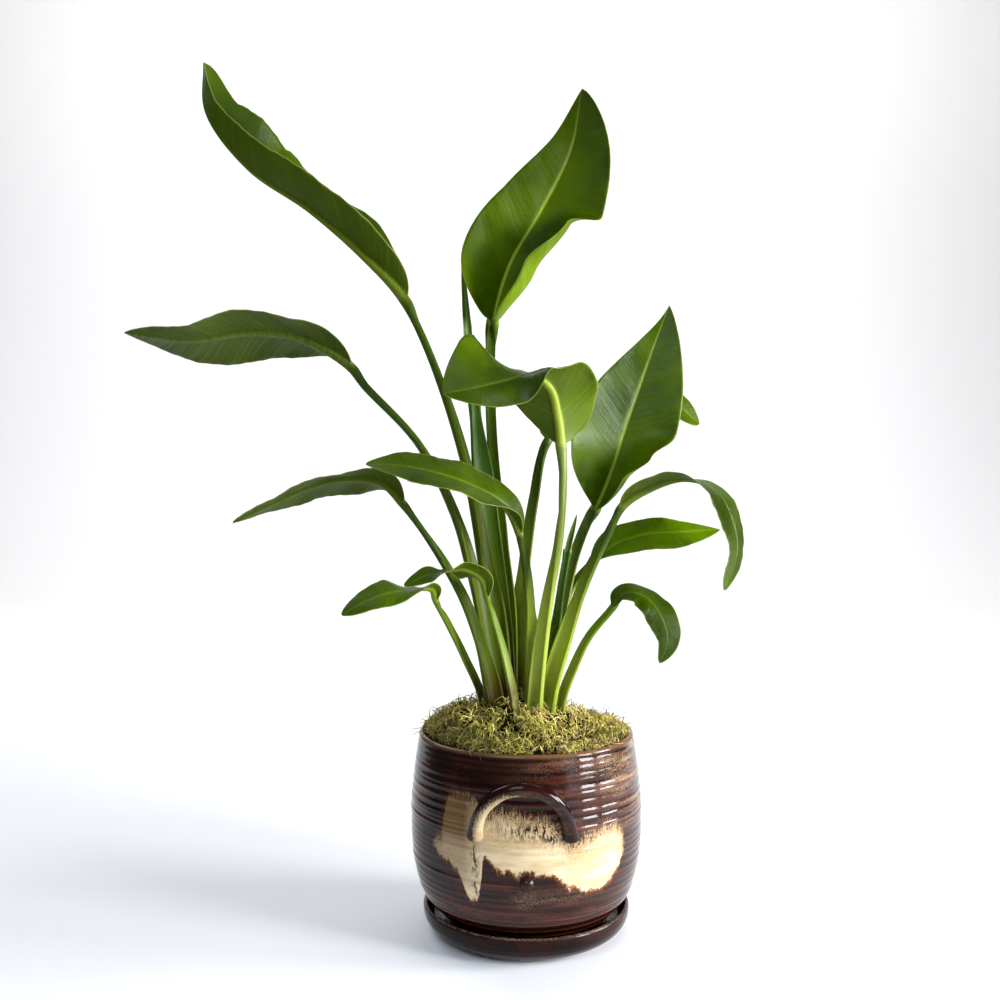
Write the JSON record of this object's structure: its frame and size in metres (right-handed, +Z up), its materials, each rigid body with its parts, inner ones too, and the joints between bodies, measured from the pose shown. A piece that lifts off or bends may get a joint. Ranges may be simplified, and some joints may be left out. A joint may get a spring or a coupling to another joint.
{
  "type": "potted bird of paradise plant",
  "caption": "Bird of paradise plant with broad arching leaves in a brown and cream glazed stoneware planter with an arched handle, on a saucer, the soil covered with moss.",
  "frame": {"origin": "centre of the saucer's flat underside, on the surface the object stands on", "axes": "+Z up, the handle shown in the picture towards -Y, +X to the right of someone facing that handle"},
  "size_m": [0.5397, 0.2382, 0.7651],
  "materials": {
    "pot_glaze": "gloss reddish brown glaze with a cream overglaze band on the front, thrown rings showing",
    "saucer_glaze": "gloss dark brown glaze",
    "soil": "moist dark bark and peat potting mix",
    "moss": "loose curly strands, matt",
    "leaf": "waxy satin leaf, paler and matt below",
    "leaf_young": "waxy satin leaf, lighter green",
    "leaf_spear": "tightly rolled leaf, satin green"
  },
  "bodies": {
    "root": {"saucer": "saucer_glaze", "pot": "pot_glaze", "soil": "soil", "moss": "moss", "frond_upper_left": "leaf", "frond_mid_left": "leaf", "frond_upper_right": "leaf", "frond_centre_folded": "leaf", "frond_broad_right": "leaf", "frond_back_right": "leaf", "frond_drooping_right": "leaf", "frond_low_left": "leaf", "frond_centre_left": "leaf", "frond_level_right": "leaf_young", "frond_low_right": "leaf_young", "frond_small_left": "leaf_young", "frond_small_inner": "leaf_young", "spear_tall": "leaf_spear", "spear_small": "leaf_spear"}
  },
  "joints": []
}
